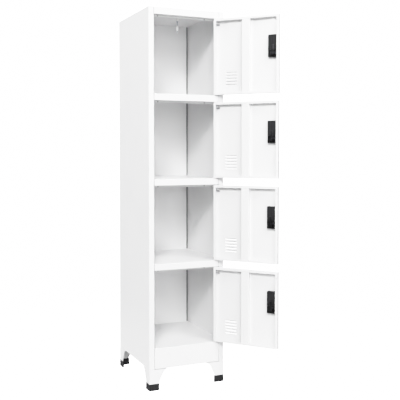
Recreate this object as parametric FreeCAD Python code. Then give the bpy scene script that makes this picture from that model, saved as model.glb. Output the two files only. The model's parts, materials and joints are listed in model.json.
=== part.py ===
import FreeCAD, Part
import math
import os

# A tall steel locker with four compartments, standing on four sheet legs.
# Millimetres, +Z up, +X to the right and +Y to the back as seen from the front.
# The origin is on the floor, at the centre of the body's footprint.

# Body
WIDTH = 385.0
DEPTH = 455.0
HEIGHT = 1800.0
SHEET = 0.8
BEND = 1.0              # inside radius of the bends
FIT = 0.2               # gap between sheets that are slid together
SEAM = 1.7              # open joint beside and below the folded front edges
STILE = 25.0            # width of the posts beside the doors
STILE_RETURN = 20.0     # how far a post is folded back beside the opening
REAR_FLANGE = 15.0
BACK_STEP = 7.0         # how far the back's middle stands in front of its edges
BACK_EDGE = 6.0         # width of the sunk edge beside each rear corner
SIDE_FLANGE = 12.0

# Levels
COMPARTMENTS = 4
BODY_BOTTOM = 101.0
FLOOR_TOP = 199.0
OPENING_HEIGHT = 368.5
RAIL = 31.0             # height of a shelf's front face
RAIL_RETURN = 24.0      # how far a rail is folded back above a door
STOP_LIP = 9.0

# Doors
DOOR_GAP = 2.0
DOOR_DEPTH = 20.0
DOOR_LIP = 12.0
DOOR_EDGE_RADIUS = 1.4
LIP_HOLE_RADIUS = 2.0
LIP_HOLE_HIGH = 30.0     # from the door's top edge, and the hole in the top lip from its free edge
LIP_HOLE_LOW = 37.0      # from the door's lower edge
HINGE_INSET = 9.0       # from the door's hinge edge to the hinge axis
HINGE_SETBACK = 4.5     # from the front plane to the hinge axis
OPEN_ANGLES = [130.6, 129.7, 129.0, 129.4]     # top door first

# Hinge pins
PIN_RADIUS = 2.5
PIN_CLEARANCE = 0.08
PIN_REACH = 5.0         # length beyond the sheet that the pin turns in
PIN_DROP = 30.0         # length of the upper pin inside the door
PIN_TAIL = 18.0
PIN_HEAD_RADIUS = 3.6
PIN_HEAD = 2.4
BRACKET_DROP = 24.0
BRACKET_SHEET = 1.2
BRACKET_REACH = 24.0
WASHER_RADIUS = 4.2     # less than the setback, so it stays behind the front
WASHER_HEIGHT = 1.6

# Stiffener down the middle of a door
HAT_WIDTH = 40.0
HAT_FLANGE = 10.0

# Louvres and card frame
LOUVRES = 5
LOUVRE_WIDTH = 60.0
LOUVRE_RADIUS = 7.0     # of the round form that the hoods are pressed to
LOUVRE_DEPTH = 4.8      # how far a hood stands out of the skin
LOUVRE_PITCH = 14.5
LOUVRE_LOWEST = 45.0
LOUVRE_FROM_HINGE = 85.0
CARD_WIDTH = 62.0
CARD_HEIGHT = 32.0
CARD_BORDER = 4.0
CARD_DEPTH = 1.4
CARD_BELOW_TOP = 80.0
CARD_TAB = 4.0
CARD_TAB_X = 22.0
CARD_TAB_Z = 14.0

# Handle
HANDLE_WIDTH = 42.0
HANDLE_HEIGHT = 104.0
HANDLE_DEPTH = 17.0
HANDLE_WALL = 1.8
HANDLE_FROM_EDGE = 12.0
HANDLE_BELOW_TOP = 94.0
HANDLE_CORNER = 3.0
BEZEL_MARGIN = 3.0
BEZEL_DEPTH = 1.8
CUP_HEIGHT = 60.0
GRIP_WIDTH = 11.0
GRIP_DEPTH = 3.0
POCKET_HEIGHT = 35.0
POCKET_FLOOR = 3.0

# Lock
LOCK_ABOVE_HANDLE_BOTTOM = 18.0
BARREL_RADIUS = 9.5
BARREL_RIM_RADIUS = 11.0
BARREL_RIM = 0.8
BARREL_END = 18.0
NUT_FLATS = 22.0
NUT_HEIGHT = 4.0
PLUG_RADIUS = 6.0
KEYWAY_WIDTH = 2.2
KEYWAY_HEIGHT = 8.0
KEYWAY_DEPTH = 6.0
PLUG_SQUARE = 7.0
PLUG_END = 20.6
CAM_SHEET = 1.6
CAM_WIDTH = 14.0
CAM_REACH = 41.0
CAM_BELOW = 9.0          # the cam's short end, below the lock's axis
CAM_CORNER = 4.2
CAM_HEAD_RADIUS = 5.0

# Legs and foot caps
LEG_FOOT = 46.0
LEG_WAIST_HEIGHT = 33.0
LEG_SLOPE = 0.479       # outward run of the slanted edge per unit of height
LEG_CURVE = 37.0
LEG_TOP = 100.0
LEG_TAB_BELOW = 15.0
LEG_TAB_ABOVE = 30.0
LEG_TAB_SIDE = 60.0
LEG_TAB_FRONT = 23.0
CAP_ARM = 50.0
CAP_THICKNESS = 7.0
CAP_HEIGHT = 32.0
CAP_PROUD = 1.0
CAP_FLOOR = 2.5
CAP_CHAMFER = 0.8
CAP_GROOVES = 3
CAP_GROOVE_DEPTH = 0.5
CAP_GROOVE_WIDTH = 2.0

# Coat hook under the top
HOOK_Y = -106.0
HOOK_TURN = 24.0        # the hook is screwed up with its tip turned to the left
HOOK_PLATE = [24.0, 44.0, 1.5]
HOOK_BOSS_RADIUS = 8.0
HOOK_BOSS_BOTTOM = 1762.0
HOOK_WIRE_RADIUS = 3.0
HOOK_BEND = 10.0
HOOK_BEND_LEVEL = 1718.0
HOOK_TIP_RADIUS = 7.5
HOOK_TIP_HEIGHT = 24.0
RIVET_RADIUS = 2.0
RIVET_HEAD_RADIUS = 4.0
RIVET_HEAD = 1.6
RIVET_FROM_END = 6.0

# Rubber buffers that the doors close against
BUFFER_RADIUS = 4.0
BUFFER_CLEARANCE = 0.4
BUFFER_PLACES = [-140.0, 100.0]

# Worked out from the sizes above
HALF_WIDTH = WIDTH / 2
FRONT = -DEPTH / 2
BACK = DEPTH / 2
OPENING_HALF = HALF_WIDTH - STILE
DOOR_HALF = OPENING_HALF - DOOR_GAP
DOOR_HEIGHT = OPENING_HEIGHT - 2 * DOOR_GAP
PITCH = OPENING_HEIGHT + RAIL
HEADER_BOTTOM = FLOOR_TOP + COMPARTMENTS * PITCH - RAIL
PIVOT_X = DOOR_HALF - HINGE_INSET
PIVOT_Y = FRONT + HINGE_SETBACK
HANDLE_X = -DOOR_HALF + HANDLE_FROM_EDGE + HANDLE_WIDTH / 2
HANDLE_BOTTOM = DOOR_HEIGHT - HANDLE_BELOW_TOP - HANDLE_HEIGHT
LOCK_Z = HANDLE_BOTTOM + LOCK_ABOVE_HANDLE_BOTTOM
LOUVRE_X = DOOR_HALF - LOUVRE_FROM_HINGE

UP = FreeCAD.Vector(0, 0, 1)
INWARD = FreeCAD.Vector(0, 1, 0)


def block(x, y, z):
    """A box from three (low, high) pairs."""
    corner = FreeCAD.Vector(x[0], y[0], z[0])
    return Part.makeBox(x[1] - x[0], y[1] - y[0], z[1] - z[0], corner)


def inset(low, high, margin):
    """A (low, high) pair drawn in by a margin at both ends."""
    return (low + margin, high - margin)


def rod(radius, start, end):
    """A round rod between two points."""
    start = FreeCAD.Vector(*start)
    run = FreeCAD.Vector(*end) - start
    return Part.makeCylinder(radius, run.Length, start, run)


def rounded_face(points, radii):
    """A flat face with the given corner points, each rounded to its radius."""
    points = [FreeCAD.Vector(*point) for point in points]
    edges = []
    ends = []
    for index, point in enumerate(points):
        before = (points[index - 1] - point).normalize()
        after = (points[(index + 1) % len(points)] - point).normalize()
        half_angle = before.getAngle(after) / 2
        radius = radii[index]
        run = radius / math.tan(half_angle)
        inward = (before + after).normalize() if radius > 0 else FreeCAD.Vector()
        start = point + before * run
        end = point + after * run
        if radius > 0:
            middle = point + inward * (radius / math.sin(half_angle) - radius)
            edges.append(Part.Arc(start, middle, end).toShape())
        ends.append((start, end))
    for index, (start, end) in enumerate(ends):
        following = ends[(index + 1) % len(ends)][0]
        if (following - end).Length > 1e-6:
            edges.append(Part.makeLine(end, following))
    wire = Part.Wire(Part.__sortEdges__(edges))
    return Part.Face(wire)


def bent_outline(path, thickness):
    """The corner points and radii of a bent sheet whose visible side follows the path.

    The sheet lies on the left of the path's direction of travel."""
    path = [FreeCAD.Vector(point[0], point[1], 0) for point in path]
    normals = []
    for start, end in zip(path, path[1:]):
        along = (end - start).normalize()
        normals.append(FreeCAD.Vector(-along.y, along.x, 0))
    inner = [path[0] + normals[0] * thickness]
    near_radii = [0.0]
    far_radii = [0.0]
    for index in range(1, len(path) - 1):
        first, second = normals[index - 1], normals[index]
        inner.append(path[index] + (first + second) * thickness / (1 + first.dot(second)))
        left_turn = first.cross(second).z > 0
        near_radii.append(BEND + thickness if left_turn else BEND)
        far_radii.append(BEND if left_turn else BEND + thickness)
    inner.append(path[-1] + normals[-1] * thickness)
    near_radii.append(0.0)
    far_radii.append(0.0)
    points = path + inner[::-1]
    return points, near_radii + far_radii[::-1]


def upright_sheet(path, low, high, thickness=SHEET):
    """A bent sheet with a constant plan, from one level to another."""
    points, radii = bent_outline(path, thickness)
    face = rounded_face([(p.x, p.y, low) for p in points], radii)
    return face.extrude(UP * (high - low))


def crosswise_sheet(path, low, high, thickness=SHEET):
    """A bent sheet with a constant side view, whose path is (y, z) points."""
    points, radii = bent_outline(path, thickness)
    face = rounded_face([(low, p.x, p.y) for p in points], radii)
    return face.extrude(FreeCAD.Vector(high - low, 0, 0))


def mirrored(shape):
    """The shape mirrored from left to right."""
    return shape.mirror(FreeCAD.Vector(), FreeCAD.Vector(1, 0, 0))


def opening_bottom(index):
    """The level of the floor of a compartment, counted from the top one."""
    return FLOOR_TOP + (COMPARTMENTS - 1 - index) * PITCH


def pivot_hole(level):
    """A cutter for a hinge pin's hole through a horizontal sheet."""
    radius = PIN_RADIUS + PIN_CLEARANCE
    return rod(radius, (PIVOT_X, PIVOT_Y, level - SHEET), (PIVOT_X, PIVOT_Y, level + SHEET))


# The body's panels

def side_panel():
    """The left side, with its front post and rear flange folded from one sheet."""
    path = [
        (-OPENING_HALF, FRONT + STILE_RETURN),
        (-OPENING_HALF, FRONT),
        (-HALF_WIDTH, FRONT),
        (-HALF_WIDTH, BACK),
        (-HALF_WIDTH + REAR_FLANGE, BACK),
    ]
    points, radii = bent_outline(path[::-1], SHEET)
    face = rounded_face([(p.x, p.y, BODY_BOTTOM) for p in points], radii)
    return face.extrude(UP * (HEIGHT - SHEET - BODY_BOTTOM))


def back_panel():
    """The back, a raised field whose sunk edges lie against the side panels' rear flanges.

    Its lower corners are notched for the tabs of the rear legs."""
    edge = HALF_WIDTH - SHEET - BEND - FIT
    step = edge - BACK_EDGE
    flange = BACK - 2 * SHEET
    field = flange - BACK_STEP
    path = [(-edge, flange), (-step, flange), (-step, field), (step, field), (step, flange), (edge, flange)]
    sheet = upright_sheet(path, BODY_BOTTOM, HEIGHT - SHEET)
    tab_edge = -HALF_WIDTH + LEG_TAB_FRONT + FIT
    notch = block((-HALF_WIDTH, tab_edge), (BACK - 3 * SHEET, BACK),
                  (BODY_BOTTOM - 1, BODY_BOTTOM + LEG_TAB_ABOVE + FIT))
    return sheet.cut([notch, mirrored(notch)])


def deck_back():
    """How far back a deck reaches, just short of the back's raised field."""
    return BACK - 2 * SHEET - BACK_STEP - FIT


def deck(top_level):
    """A flat horizontal sheet that fills the body behind the front posts."""
    behind = deck_back()
    narrow = block(inset(-OPENING_HALF, OPENING_HALF, FIT), (FRONT + BEND + SHEET, behind),
                   (top_level - SHEET, top_level))
    wide = block(inset(-HALF_WIDTH + SHEET, HALF_WIDTH - SHEET, FIT),
                 (FRONT + STILE_RETURN + FIT, behind), (top_level - SHEET, top_level))
    return narrow.fuse(wide)


def side_flanges(top_level):
    """The two flanges turned down along a deck's sides."""
    edge = HALF_WIDTH - SHEET - FIT
    deep = (FRONT + STILE_RETURN + FIT, deck_back())
    right = block((edge - SHEET, edge), deep, (top_level - SIDE_FLANGE, top_level))
    return [right, mirrored(right)]


def rail(top_level, bottom_level):
    """A front face between the posts, folded back under itself into a stop lip."""
    path = [
        (FRONT + 3 * BEND + 3 * SHEET, top_level),
        (FRONT, top_level),
        (FRONT, bottom_level),
        (FRONT + RAIL_RETURN, bottom_level),
        (FRONT + RAIL_RETURN, bottom_level - STOP_LIP),
    ]
    sheet = crosswise_sheet(path, -OPENING_HALF + SEAM, OPENING_HALF - SEAM)
    return sheet.cut(pivot_hole(bottom_level))


def top_panel():
    """The top, with the header rail above the first door."""
    sheet = block((-HALF_WIDTH, HALF_WIDTH), (FRONT + BEND + SHEET, BACK), (HEIGHT - SHEET, HEIGHT))
    ears = [
        block(side, (FRONT, FRONT + BEND + SHEET), (HEIGHT - SHEET, HEIGHT))
        for side in ((-HALF_WIDTH, -OPENING_HALF), (OPENING_HALF, HALF_WIDTH))
    ]
    holes = [
        rod(RIVET_RADIUS, (0, y, HEIGHT - 2 * SHEET), (0, y, HEIGHT + SHEET))
        for y in rivet_places()
    ]
    return sheet.fuse(ears + [rail(HEIGHT, HEADER_BOTTOM)]).removeSplitter().cut(holes)


def shelf(index):
    """A shelf between two compartments, with the rail that faces the front."""
    top_level = opening_bottom(index)
    shape = deck(top_level).fuse([rail(top_level, top_level - RAIL)] + side_flanges(top_level))
    return shape.removeSplitter().cut(pivot_hole(top_level))


def bottom_panel():
    """The lowest floor, with the apron that closes the plinth below it."""
    path = [
        (FRONT + 3 * BEND + 3 * SHEET, FLOOR_TOP),
        (FRONT, FLOOR_TOP),
        (FRONT, BODY_BOTTOM),
        (FRONT + REAR_FLANGE, BODY_BOTTOM),
    ]
    apron = crosswise_sheet(path, -OPENING_HALF + SEAM, OPENING_HALF - SEAM)
    shape = deck(FLOOR_TOP).fuse([apron] + side_flanges(FLOOR_TOP))
    return shape.removeSplitter().cut(pivot_hole(FLOOR_TOP))


# Legs

def leg_flange():
    """One flange of a leg in its own plane: x from the corner, z up."""
    corner = LEG_FOOT + LEG_SLOPE * (BODY_BOTTOM - SEAM - LEG_WAIST_HEIGHT)
    slant = math.atan(1 / LEG_SLOPE)
    tangent = LEG_CURVE * math.tan(slant / 2)
    centre_x = corner + tangent
    flange_top = BODY_BOTTOM - SEAM
    centre_z = flange_top - LEG_CURVE

    def on_curve(angle):
        return FreeCAD.Vector(centre_x - LEG_CURVE * math.sin(angle), 0,
                              centre_z + LEG_CURVE * math.cos(angle))

    cut_angle = math.asin((centre_x - LEG_TOP) / LEG_CURVE)
    start = on_curve(slant)
    middle = on_curve((slant + cut_angle) / 2)
    end = on_curve(cut_angle)
    points = [
        end,
        FreeCAD.Vector(LEG_TOP, 0, flange_top),
        FreeCAD.Vector(0, 0, flange_top),
        FreeCAD.Vector(0, 0, CAP_FLOOR),
        FreeCAD.Vector(LEG_FOOT, 0, CAP_FLOOR),
        FreeCAD.Vector(LEG_FOOT, 0, LEG_WAIST_HEIGHT),
        start,
    ]
    edges = [Part.makeLine(a, b) for a, b in zip(points, points[1:])]
    edges.append(Part.Arc(start, middle, end).toShape())
    face = Part.Face(Part.Wire(edges))
    return face.extrude(INWARD * SHEET)


def turned_to_side(shape):
    """A flange in the front plane swapped to the side plane, corner kept."""
    swap = FreeCAD.Matrix()
    swap.A11, swap.A12, swap.A13 = 0, 1, 0
    swap.A21, swap.A22, swap.A23 = 1, 0, 0
    return shape.transformGeometry(swap)


def front_left_leg():
    """A sheet leg of angle section, with a tab that goes up inside the body."""
    flange = leg_flange()
    tab_levels = (BODY_BOTTOM - LEG_TAB_BELOW, BODY_BOTTOM + LEG_TAB_ABOVE)
    clear_of_bend = SHEET + BEND + FIT
    front_tab = block((clear_of_bend, LEG_TAB_FRONT), (SHEET, 2 * SHEET), tab_levels)
    side_tab = block((SHEET, 2 * SHEET), (clear_of_bend, LEG_TAB_SIDE), tab_levels)
    leg = flange.fuse([turned_to_side(flange), front_tab, side_tab]).removeSplitter()
    leg.translate(FreeCAD.Vector(-HALF_WIDTH, FRONT, 0))
    return leg


def front_left_cap():
    """A plastic shoe of angle shape, slotted for the leg's lower end."""
    outer_x = -HALF_WIDTH - CAP_PROUD
    outer_y = FRONT - CAP_PROUD
    long_x = (outer_x, outer_x + CAP_ARM)
    long_y = (outer_y, outer_y + CAP_ARM)
    along_x = block(long_x, (outer_y, outer_y + CAP_THICKNESS), (0, CAP_HEIGHT))
    along_y = block((outer_x, outer_x + CAP_THICKNESS), long_y, (0, CAP_HEIGHT))
    shape = along_x.fuse(along_y).removeSplitter()
    edges = [edge for edge in shape.Edges if edge.BoundBox.ZMin > CAP_HEIGHT - 0.01]
    shape = shape.makeChamfer(CAP_CHAMFER, edges)
    slot_levels = (CAP_FLOOR, CAP_HEIGHT + 1)
    slots = [
        block((-HALF_WIDTH, -HALF_WIDTH + LEG_FOOT), (FRONT, FRONT + SHEET), slot_levels),
        block((-HALF_WIDTH, -HALF_WIDTH + SHEET), (FRONT, FRONT + LEG_FOOT), slot_levels),
    ]
    for number in range(1, CAP_GROOVES + 1):
        place = number * CAP_ARM / (CAP_GROOVES + 1)
        wide = (place - CAP_GROOVE_WIDTH / 2, place + CAP_GROOVE_WIDTH / 2)
        levels = (4 * CAP_CHAMFER, CAP_HEIGHT - 4 * CAP_CHAMFER)
        deep = (-CAP_GROOVE_DEPTH, CAP_GROOVE_DEPTH)
        front_groove = block((outer_x + wide[0], outer_x + wide[1]),
                             (outer_y + deep[0], outer_y + deep[1]), levels)
        side_groove = block((outer_x + deep[0], outer_x + deep[1]),
                            (outer_y + wide[0], outer_y + wide[1]), levels)
        slots += [front_groove, side_groove]
    return shape.cut(slots)


# Coat hook

def rivet_places():
    """Where the hook's two rivets are, along Y."""
    reach = HOOK_PLATE[1] / 2 - RIVET_FROM_END
    return [HOOK_Y - reach, HOOK_Y + reach]


def coat_hook():
    """A plate under the top with a boss, a wire hook and a fat rounded tip."""
    ceiling = HEIGHT - SHEET
    plate_bottom = ceiling - HOOK_PLATE[2]
    plate = block((-HOOK_PLATE[0] / 2, HOOK_PLATE[0] / 2),
                  (-HOOK_PLATE[1] / 2, HOOK_PLATE[1] / 2), (plate_bottom, ceiling))
    upright = [edge for edge in plate.Edges if abs(edge.BoundBox.ZLength - HOOK_PLATE[2]) < 0.01]
    plate = plate.makeFillet(HOOK_PLATE[0] / 3, upright)
    plate.translate(FreeCAD.Vector(0, HOOK_Y, 0))
    holes = [rod(RIVET_RADIUS, (0, y, plate_bottom - 1), (0, y, ceiling + 1)) for y in rivet_places()]
    boss = Part.makeCone(HOOK_BOSS_RADIUS, HOOK_BOSS_RADIUS * 0.8, ceiling - HOOK_BOSS_BOTTOM,
                         FreeCAD.Vector(0, 0, ceiling), UP * -1)
    stem = rod(HOOK_WIRE_RADIUS, (0, 0, HOOK_BEND_LEVEL), (0, 0, HOOK_BOSS_BOTTOM))
    ring = Part.makeTorus(HOOK_BEND, HOOK_WIRE_RADIUS, FreeCAD.Vector(0, -HOOK_BEND, HOOK_BEND_LEVEL),
                          FreeCAD.Vector(1, 0, 0))
    lower_half = block((-HOOK_BEND, HOOK_BEND), (-3 * HOOK_BEND, HOOK_BEND),
                       (HOOK_BEND_LEVEL - 2 * HOOK_BEND, HOOK_BEND_LEVEL))
    tip = Part.makeSphere(HOOK_TIP_RADIUS)
    stretch = FreeCAD.Matrix()
    stretch.scale(1, 1, HOOK_TIP_HEIGHT / 2 / HOOK_TIP_RADIUS)
    tip = tip.transformGeometry(stretch)
    tip.translate(FreeCAD.Vector(0, -2 * HOOK_BEND, HOOK_BEND_LEVEL + HOOK_TIP_HEIGHT / 4))
    hook = boss.fuse([stem, ring.common(lower_half), tip])
    hook.rotate(FreeCAD.Vector(), UP, -HOOK_TURN)
    hook.translate(FreeCAD.Vector(0, HOOK_Y, 0))
    return plate.cut(holes).fuse(hook)


def hook_rivets():
    """The two rivets that hold the hook's plate to the top."""
    rivets = []
    plate_bottom = HEIGHT - SHEET - HOOK_PLATE[2]
    for y in rivet_places():
        shank = rod(RIVET_RADIUS, (0, y, plate_bottom), (0, y, HEIGHT))
        head = rod(RIVET_HEAD_RADIUS, (0, y, plate_bottom - RIVET_HEAD), (0, y, plate_bottom))
        rim = [edge for edge in head.Edges if edge.BoundBox.ZMax < plate_bottom - RIVET_HEAD / 2]
        rivets.append(head.makeFillet(RIVET_HEAD * 0.7, rim).fuse(shank))
    return Part.makeCompound(rivets)


def hinge_washers():
    """The nylon washer that each door stands on."""
    washers = []
    for index in range(COMPARTMENTS):
        low = opening_bottom(index)
        place = (PIVOT_X, PIVOT_Y, low)
        washer = rod(WASHER_RADIUS, place, (PIVOT_X, PIVOT_Y, low + WASHER_HEIGHT))
        bore = rod(PIN_RADIUS + PIN_CLEARANCE, place, (PIVOT_X, PIVOT_Y, low + DOOR_GAP))
        washers.append(washer.cut(bore))
    return Part.makeCompound(washers)


def door_buffers():
    """Round rubber buffers on the stop lips, just clear of the closed doors."""
    buffers = []
    lip_face = FRONT + RAIL_RETURN
    for index in range(COMPARTMENTS):
        level = opening_bottom(index) + OPENING_HEIGHT - STOP_LIP / 2
        for x in BUFFER_PLACES:
            front = (x, FRONT + DOOR_DEPTH + BUFFER_CLEARANCE, level)
            buffers.append(rod(BUFFER_RADIUS, front, (x, lip_face, level)))
    return Part.makeCompound(buffers)


# Door pieces, drawn on a closed door whose lower edge is at z = 0

def depths(low, high):
    """A (low, high) pair along Y, from depths behind the front plane."""
    return (FRONT + low, FRONT + high)


def capsule(radius, half_length, centre):
    """A rod along X with round ends."""
    ends = [FreeCAD.Vector(centre[0] + side * half_length, centre[1], centre[2]) for side in (-1, 1)]
    bar = Part.makeCylinder(radius, 2 * half_length, ends[0], FreeCAD.Vector(1, 0, 0))
    return bar.fuse([Part.makeSphere(radius, end) for end in ends]).removeSplitter()


def louvre(level):
    """The pressed hood of one louvre, open downwards, and the cutter for the hollow behind it."""
    half_length = LOUVRE_WIDTH / 2 - LOUVRE_RADIUS
    centre = (LOUVRE_X, FRONT - LOUVRE_DEPTH + LOUVRE_RADIUS, level)
    upper_half = block((-DOOR_HALF, DOOR_HALF), depths(-LOUVRE_DEPTH, SHEET), (level, DOOR_HEIGHT))
    hood = capsule(LOUVRE_RADIUS, half_length, centre).common(upper_half)
    hollow = capsule(LOUVRE_RADIUS - SHEET, half_length, centre)
    passage = block((-DOOR_HALF, DOOR_HALF), depths(-2 * LOUVRE_DEPTH, SHEET + 1),
                    (level - 1, DOOR_HEIGHT))
    return hood, hollow.common(passage)


def card_tab_places():
    """The centres of the card frame's four tabs."""
    level = DOOR_HEIGHT - CARD_BELOW_TOP
    return [
        (LOUVRE_X + side * CARD_TAB_X, level + end * CARD_TAB_Z)
        for side in (-1, 1)
        for end in (-1, 1)
    ]


def card_tabs(margin):
    """The card frame's tabs, drawn out by a margin to cut their slots."""
    half = CARD_TAB / 2 + margin
    thin = CARD_DEPTH / 2 + margin
    return [
        block((x - half, x + half), depths(-SHEET / 2, 3 * SHEET), (z - thin, z + thin))
        for x, z in card_tab_places()
    ]


def handle_block(margin, low, high):
    """A block with rounded corners, the outline of the handle drawn out by a margin."""
    shape = block(
        (HANDLE_X - HANDLE_WIDTH / 2 - margin, HANDLE_X + HANDLE_WIDTH / 2 + margin),
        depths(low, high),
        (HANDLE_BOTTOM - margin, HANDLE_BOTTOM + HANDLE_HEIGHT + margin),
    )
    edges = [edge for edge in shape.Edges if abs(edge.BoundBox.YLength - (high - low)) < 0.01]
    return shape.makeFillet(HANDLE_CORNER + margin, edges)


def door_panel():
    """A shallow tray: a skin with four flanges that end in lips."""
    outer = block((-DOOR_HALF, DOOR_HALF), depths(0, DOOR_DEPTH), (0, DOOR_HEIGHT))
    outer = outer.makeFillet(DOOR_EDGE_RADIUS, outer.Edges)
    inner = block(inset(-DOOR_HALF, DOOR_HALF, SHEET), depths(SHEET, DOOR_DEPTH - SHEET),
                  inset(0, DOOR_HEIGHT, SHEET))
    inner = inner.makeFillet(DOOR_EDGE_RADIUS - SHEET, inner.Edges)
    window = block(inset(-DOOR_HALF, DOOR_HALF, DOOR_LIP), depths(DOOR_DEPTH / 2, DOOR_DEPTH + 1),
                   inset(0, DOOR_HEIGHT, DOOR_LIP))
    hoods = []
    cuts = [inner, window, handle_block(FIT, -1, 2)]
    for number in range(LOUVRES):
        hood, hollow = louvre(LOUVRE_LOWEST + number * LOUVRE_PITCH)
        hoods.append(hood)
        cuts.append(hollow)
    cuts += card_tabs(FIT)
    cuts.append(rod(PIN_RADIUS, (PIVOT_X, PIVOT_Y, -1), (PIVOT_X, PIVOT_Y, DOOR_HEIGHT + 1)))
    lip_middle = DOOR_HALF - DOOR_LIP / 2
    lip_holes = [
        (-lip_middle, LIP_HOLE_LOW),
        (-lip_middle, DOOR_HEIGHT - LIP_HOLE_HIGH),
        (-DOOR_HALF + LIP_HOLE_HIGH, DOOR_HEIGHT - DOOR_LIP / 2),
    ]
    for x, z in lip_holes:
        cuts.append(rod(LIP_HOLE_RADIUS, (x, FRONT + DOOR_DEPTH / 2, z), (x, FRONT + DOOR_DEPTH + 1, z)))
    return outer.fuse(hoods).cut(cuts)


def stiffener():
    """A hat section down the middle of the door, tucked under its lips."""
    half = HAT_WIDTH / 2
    crown = FRONT + DOOR_DEPTH - SHEET
    skin = FRONT + SHEET
    path = [
        (half + HAT_FLANGE, skin + SHEET),
        (half, skin + SHEET),
        (half, crown),
        (-half, crown),
        (-half, skin + SHEET),
        (-half - HAT_FLANGE, skin + SHEET),
    ]
    return upright_sheet(path, 2 * SHEET, DOOR_HEIGHT - 2 * SHEET)


def hinge_bracket():
    """An angle on the hinge flange that steadies the upper pin."""
    level = DOOR_HEIGHT - BRACKET_DROP
    outer = DOOR_HALF - SHEET
    deep = inset(*depths(SHEET, DOOR_DEPTH - SHEET), SHEET)
    upright = block((outer - BRACKET_SHEET, outer), deep, (level, DOOR_HEIGHT - 2 * SHEET))
    ledge = block((outer - BRACKET_REACH, outer), deep, (level, level + BRACKET_SHEET))
    hole = rod(PIN_RADIUS, (PIVOT_X, PIVOT_Y, level - 1), (PIVOT_X, PIVOT_Y, level + 2 * BRACKET_SHEET))
    return upright.fuse(ledge).removeSplitter().cut(hole)


def hinge_pins():
    """The upper pin with its bent tail, and the headed lower pin."""
    top = DOOR_HEIGHT + DOOR_GAP + PIN_REACH
    knee = DOOR_HEIGHT - PIN_DROP
    corner = (PIVOT_X, PIVOT_Y, knee)
    upright = rod(PIN_RADIUS, corner, (PIVOT_X, PIVOT_Y, top))
    tail = rod(PIN_RADIUS, corner, (PIVOT_X - PIN_TAIL, PIVOT_Y, knee))
    elbow = Part.makeSphere(PIN_RADIUS, FreeCAD.Vector(*corner))
    upper = upright.fuse([tail, elbow])
    shank = rod(PIN_RADIUS, (PIVOT_X, PIVOT_Y, -DOOR_GAP - PIN_REACH), (PIVOT_X, PIVOT_Y, SHEET))
    head = rod(PIN_HEAD_RADIUS, (PIVOT_X, PIVOT_Y, SHEET), (PIVOT_X, PIVOT_Y, SHEET + PIN_HEAD))
    return Part.makeCompound([upper, shank.fuse(head)])


def handle():
    """A moulded insert: a bezel, a finger cup above and a lock pocket below."""
    shape = handle_block(BEZEL_MARGIN, -BEZEL_DEPTH, 0)
    front_rim = [edge for edge in shape.Edges if edge.BoundBox.YMax < FRONT - BEZEL_DEPTH / 2]
    shape = shape.makeFillet(BEZEL_DEPTH * 0.6, front_rim)
    shape = shape.fuse(handle_block(0, -BEZEL_DEPTH / 2, HANDLE_DEPTH)).removeSplitter()
    across = inset(HANDLE_X - HANDLE_WIDTH / 2, HANDLE_X + HANDLE_WIDTH / 2, HANDLE_WALL)
    cup_top = HANDLE_BOTTOM + HANDLE_HEIGHT - HANDLE_WALL
    cup_levels = (cup_top - CUP_HEIGHT, cup_top)
    cup = block(across, depths(GRIP_DEPTH - BEZEL_DEPTH, HANDLE_DEPTH - HANDLE_WALL), cup_levels)
    mouth = block((across[0] + GRIP_WIDTH, across[1]), depths(-2 * BEZEL_DEPTH, GRIP_DEPTH), cup_levels)
    pocket_levels = (HANDLE_BOTTOM + HANDLE_WALL, HANDLE_BOTTOM + POCKET_HEIGHT)
    pocket = block(across, depths(POCKET_FLOOR, HANDLE_DEPTH + 1), pocket_levels)
    barrel_hole = lock_rod(BARREL_RADIUS + PIN_CLEARANCE, -2 * BEZEL_DEPTH, 2 * POCKET_FLOOR)
    return shape.cut([cup, mouth, pocket, barrel_hole])


def card_frame():
    """A frame for a name card, held by four tabs through the skin."""
    level = DOOR_HEIGHT - CARD_BELOW_TOP
    half_width = CARD_WIDTH / 2
    half_height = CARD_HEIGHT / 2
    across = (LOUVRE_X - half_width, LOUVRE_X + half_width)
    levels = (level - half_height, level + half_height)
    plate = block(across, depths(-CARD_DEPTH, 0), levels)
    front_rim = [edge for edge in plate.Edges if edge.BoundBox.YMax < FRONT - CARD_DEPTH / 2]
    plate = plate.makeChamfer(CARD_DEPTH * 0.4, front_rim)
    window = block(inset(across[0], across[1], CARD_BORDER), depths(-2 * CARD_DEPTH, SHEET),
                   inset(levels[0], levels[1], CARD_BORDER))
    slot = block((across[0] + CARD_BORDER / 2, across[1] + 1), depths(-CARD_DEPTH / 2, 0),
                 inset(levels[0], levels[1], CARD_BORDER / 2))
    return plate.cut([window, slot]).fuse(card_tabs(0))


def lock_barrel():
    """The fixed lock body: a rimmed tube through the handle's pocket."""
    rim_back = -BEZEL_DEPTH
    rim = lock_rod(BARREL_RIM_RADIUS, rim_back - BARREL_RIM, rim_back)
    body = lock_rod(BARREL_RADIUS, rim_back, BARREL_END)
    bore = lock_rod(PLUG_RADIUS + PIN_CLEARANCE, rim_back - 2, BARREL_END + 1)
    return rim.fuse(body).cut(bore)


def lock_rod(radius, low, high):
    """A rod along the lock's axis between two depths."""
    return rod(radius, (HANDLE_X, FRONT + low, LOCK_Z), (HANDLE_X, FRONT + high, LOCK_Z))


def lock_nut():
    """The hexagonal nut that clamps the lock in the pocket."""
    corner_radius = NUT_FLATS / math.sqrt(3)
    points = []
    for number in range(7):
        angle = math.radians(60 * number)
        points.append(FreeCAD.Vector(HANDLE_X + corner_radius * math.cos(angle), FRONT + POCKET_FLOOR,
                                     LOCK_Z + corner_radius * math.sin(angle)))
    nut = Part.Face(Part.makePolygon(points)).extrude(INWARD * NUT_HEIGHT)
    return nut.cut(lock_rod(BARREL_RADIUS, 0, HANDLE_DEPTH))


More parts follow.
